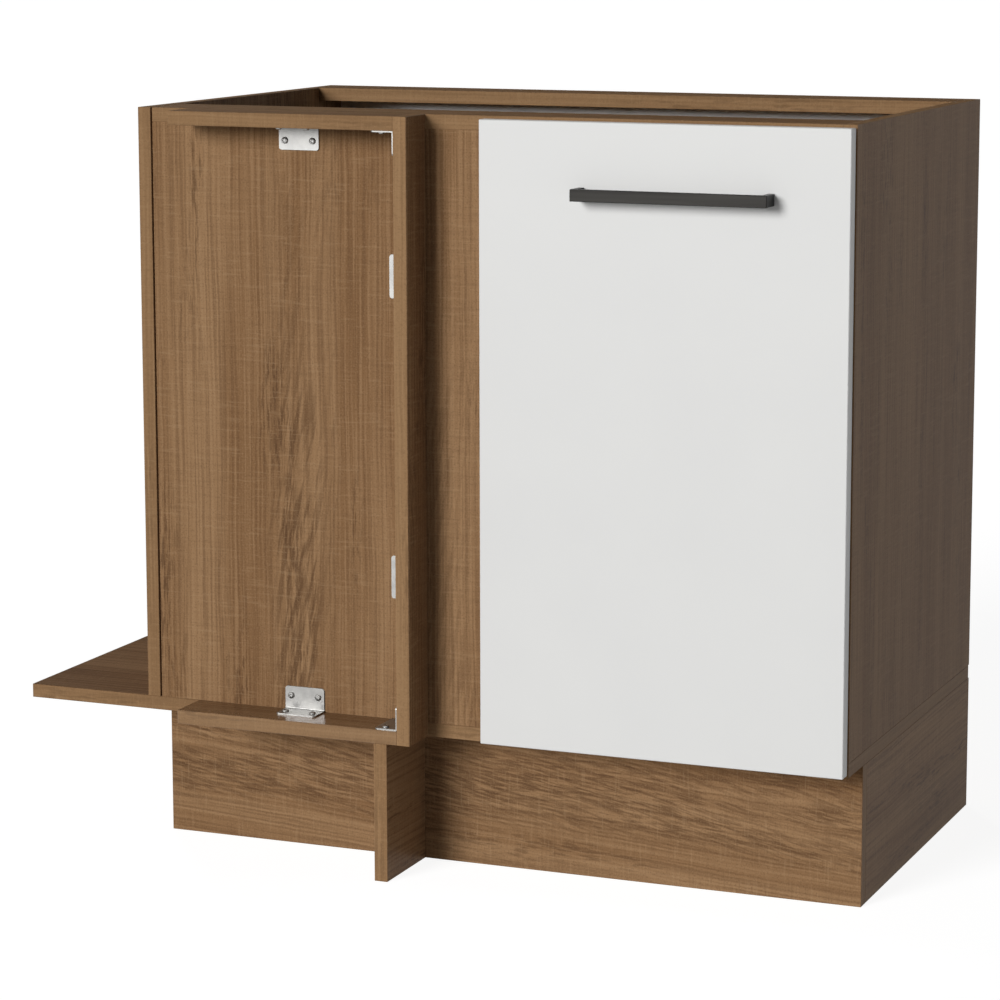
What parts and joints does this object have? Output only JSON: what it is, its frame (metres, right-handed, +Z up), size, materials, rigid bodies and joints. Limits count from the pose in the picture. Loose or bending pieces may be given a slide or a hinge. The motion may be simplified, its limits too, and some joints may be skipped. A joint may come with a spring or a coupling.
{
  "type": "corner base cabinet",
  "caption": "Corner base cabinet in dark oak boards with a blind front, a bracketed spacer, a ledge, a recessed plinth and a white hinged door with a bar handle.",
  "frame": {"origin": "middle of the footprint on the floor, under the whole part with its ledge, spacer and door", "axes": "+X along the front from the ledge to the door, +Y from the front to the back, +Z up"},
  "size_m": [0.946, 0.529, 0.81],
  "materials": {
    "oak_board": "laminated board with a dark rustic oak grain, satin",
    "back_sheet": "thin fibreboard, white on the inside",
    "zinc": "bright zinc plated steel",
    "beech": "plain beech",
    "white_board": "white laminated board, satin, with soft edges",
    "handle_metal": "dark graphite satin",
    "bumper": "soft clear plastic pads",
    "hinge_steel": "nickel plated steel"
  },
  "bodies": {
    "cabinet": {"bottom_board": "oak_board", "left_side": "oak_board", "right_side": "oak_board", "front_rail": "oak_board", "back_rail": "oak_board", "blind_front": "oak_board", "shelf": "oak_board", "spacer_top": "oak_board", "spacer_bottom": "oak_board", "spacer_side": "oak_board", "plinth_front": "oak_board", "plinth_return": "oak_board", "plinth_left": "oak_board", "plinth_right": "oak_board", "plinth_back": "oak_board", "back_panel": "back_sheet", "back_nails": "zinc", "shelf_pins": "zinc", "bracket_top": "zinc", "bracket_bottom": "zinc", "bracket_side_upper": "zinc", "bracket_side_lower": "zinc", "bracket_corner_top": "zinc", "bracket_corner_bottom": "zinc", "bracket_screws": "zinc", "plinth_brackets": "zinc", "plinth_bracket_screws": "zinc", "base_screws": "zinc", "cam_housings": "zinc", "cam_bolts": "zinc", "dowels": "beech", "hinge_plate_lower": "hinge_steel", "hinge_plate_upper": "hinge_steel", "hinge_plate_screws": "hinge_steel", "hinge_arm_lower": "hinge_steel", "hinge_arm_upper": "hinge_steel", "hinge_arm_screws": "hinge_steel", "hinge_arm_pins": "hinge_steel"},
    "outer_links": {"outer_link_lower": "hinge_steel", "outer_link_upper": "hinge_steel"},
    "door": {"door_panel": "white_board", "handle": "handle_metal", "handle_screws": "zinc", "door_bumpers": "bumper", "hinge_cup_lower": "hinge_steel", "hinge_cup_upper": "hinge_steel", "hinge_cup_pins": "hinge_steel", "hinge_cup_screws": "hinge_steel"},
    "inner_links": {"inner_link_lower": "hinge_steel", "inner_link_upper": "hinge_steel"}
  },
  "joints": [
    {"name": "outer_link_turn", "type": "hinge", "parent": "cabinet", "child": "outer_links", "pos_m": [0.438, -0.2129, 0.2525], "axis": [0, 0, -1], "range_deg": [0, 35.9]},
    {"name": "door_turn", "type": "hinge", "parent": "outer_links", "child": "door", "pos_m": [0.46, -0.2206, 0.2525], "axis": [0, 0, 1], "range_deg": [0, 130.81]},
    {"name": "inner_link_turn", "type": "hinge", "parent": "door", "child": "inner_links", "pos_m": [0.4603, -0.2251, 0.2525], "axis": [0, 0, -1], "range_deg": [0, 109.3]}
  ],
  "couplings": [
    {"joint": "outer_link_turn", "follows": "door_turn", "ratio": 0.27378},
    {"joint": "inner_link_turn", "follows": "door_turn", "ratio": 0.83515}
  ]
}
